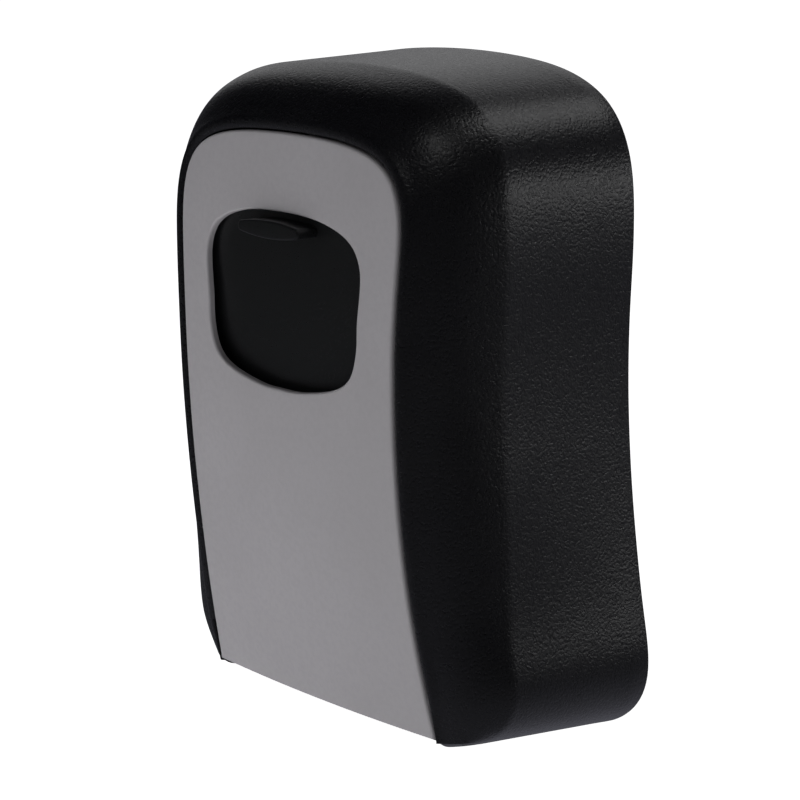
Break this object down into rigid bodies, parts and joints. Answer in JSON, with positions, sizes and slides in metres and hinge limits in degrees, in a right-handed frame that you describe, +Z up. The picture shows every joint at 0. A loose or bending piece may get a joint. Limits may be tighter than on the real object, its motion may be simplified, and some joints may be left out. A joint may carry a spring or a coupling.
{
  "type": "key lock box",
  "caption": "Wall-mounted key lock box: flared rounded case, bottom-hinged crowned front door, sliding shutter with finger tab over a dial lock and release lever.",
  "frame": {"origin": "centre of the back face, on the wall", "axes": "+Y into the wall, -Y out of the front, +Z up along the case's height, +X to the right for someone facing the front"},
  "size_m": [0.0974, 0.0455, 0.12],
  "materials": {
    "case_black": "fine leather texture, satin",
    "panel_grey": "smooth satin",
    "housing_black": "satin",
    "cover_steel": "satin zinc plate",
    "shutter_black": "smooth satin",
    "lever_black": "satin",
    "slide_steel": "satin",
    "dial_black": "satin with white numerals",
    "ring_brass": "machined",
    "steel": "zinc plated"
  },
  "bodies": {
    "case": {"case_body": "case_black", "hinge_pin_left": "steel", "hinge_pin_right": "steel"},
    "door": {"door_panel": "panel_grey", "door_housing": "housing_black", "back_cover": "cover_steel", "dial_axle": "steel", "detent_spring": "steel", "latch_spring_left": "steel", "latch_spring_right": "steel", "cover_screw_left_high": "steel", "cover_screw_left_low": "steel", "cover_screw_right_high": "steel", "cover_screw_right_low": "steel", "panel_screw_left_high": "steel", "panel_screw_left_low": "steel", "panel_screw_right_high": "steel", "panel_screw_right_low": "steel"},
    "shutter": {"shutter": "shutter_black"},
    "latch": {"latch_plate": "steel", "release_lever": "lever_black"},
    "reset": {"reset_slide": "slide_steel"},
    "dial_1": {"dial_1": "dial_black"},
    "dial_2": {"dial_2": "dial_black"},
    "dial_3": {"dial_3": "dial_black"},
    "dial_4": {"dial_4": "dial_black"},
    "ring_1": {"code_ring_1": "ring_brass"},
    "ring_2": {"code_ring_2": "ring_brass"},
    "ring_3": {"code_ring_3": "ring_brass"},
    "ring_4": {"code_ring_4": "ring_brass"}
  },
  "joints": [
    {"name": "door_hinge", "type": "hinge", "parent": "case", "child": "door", "pos_m": [0, -0.0299, -0.0534], "axis": [1, 0, 0], "range_deg": [0, 100]},
    {"name": "shutter_slide", "type": "slide", "parent": "door", "child": "shutter", "axis": [0, 0.035, -0.9994], "range_m": [0, 0.026]},
    {"name": "latch_slide", "type": "slide", "parent": "door", "child": "latch", "axis": [0, 0, -1], "range_m": [0, 0.004], "stiffness_N_per_m": 600, "springref_m": -0.004, "deforming": ["latch_spring_left", "latch_spring_right"]},
    {"name": "reset_shift", "type": "slide", "parent": "door", "child": "reset", "axis": [1, 0, 0], "range_m": [0, 0.0016]},
    {"name": "dial_1_spin", "type": "hinge", "parent": "door", "child": "dial_1", "pos_m": [0, -0.0292, 0.0245], "axis": [1, 0, 0], "continuous": true},
    {"name": "dial_2_spin", "type": "hinge", "parent": "door", "child": "dial_2", "pos_m": [0, -0.0292, 0.0245], "axis": [1, 0, 0], "continuous": true},
    {"name": "dial_3_spin", "type": "hinge", "parent": "door", "child": "dial_3", "pos_m": [0, -0.0292, 0.0245], "axis": [1, 0, 0], "continuous": true},
    {"name": "dial_4_spin", "type": "hinge", "parent": "door", "child": "dial_4", "pos_m": [0, -0.0292, 0.0245], "axis": [1, 0, 0], "continuous": true},
    {"name": "ring_1_shift", "type": "slide", "parent": "dial_1", "child": "ring_1", "axis": [1, 0, 0], "range_m": [0, 0.0016]},
    {"name": "ring_2_shift", "type": "slide", "parent": "dial_2", "child": "ring_2", "axis": [1, 0, 0], "range_m": [0, 0.0016]},
    {"name": "ring_3_shift", "type": "slide", "parent": "dial_3", "child": "ring_3", "axis": [1, 0, 0], "range_m": [0, 0.0016]},
    {"name": "ring_4_shift", "type": "slide", "parent": "dial_4", "child": "ring_4", "axis": [1, 0, 0], "range_m": [0, 0.0016]}
  ],
  "couplings": [
    {"joint": "ring_1_shift", "follows": "reset_shift", "ratio": 1},
    {"joint": "ring_2_shift", "follows": "reset_shift", "ratio": 1},
    {"joint": "ring_3_shift", "follows": "reset_shift", "ratio": 1},
    {"joint": "ring_4_shift", "follows": "reset_shift", "ratio": 1}
  ]
}
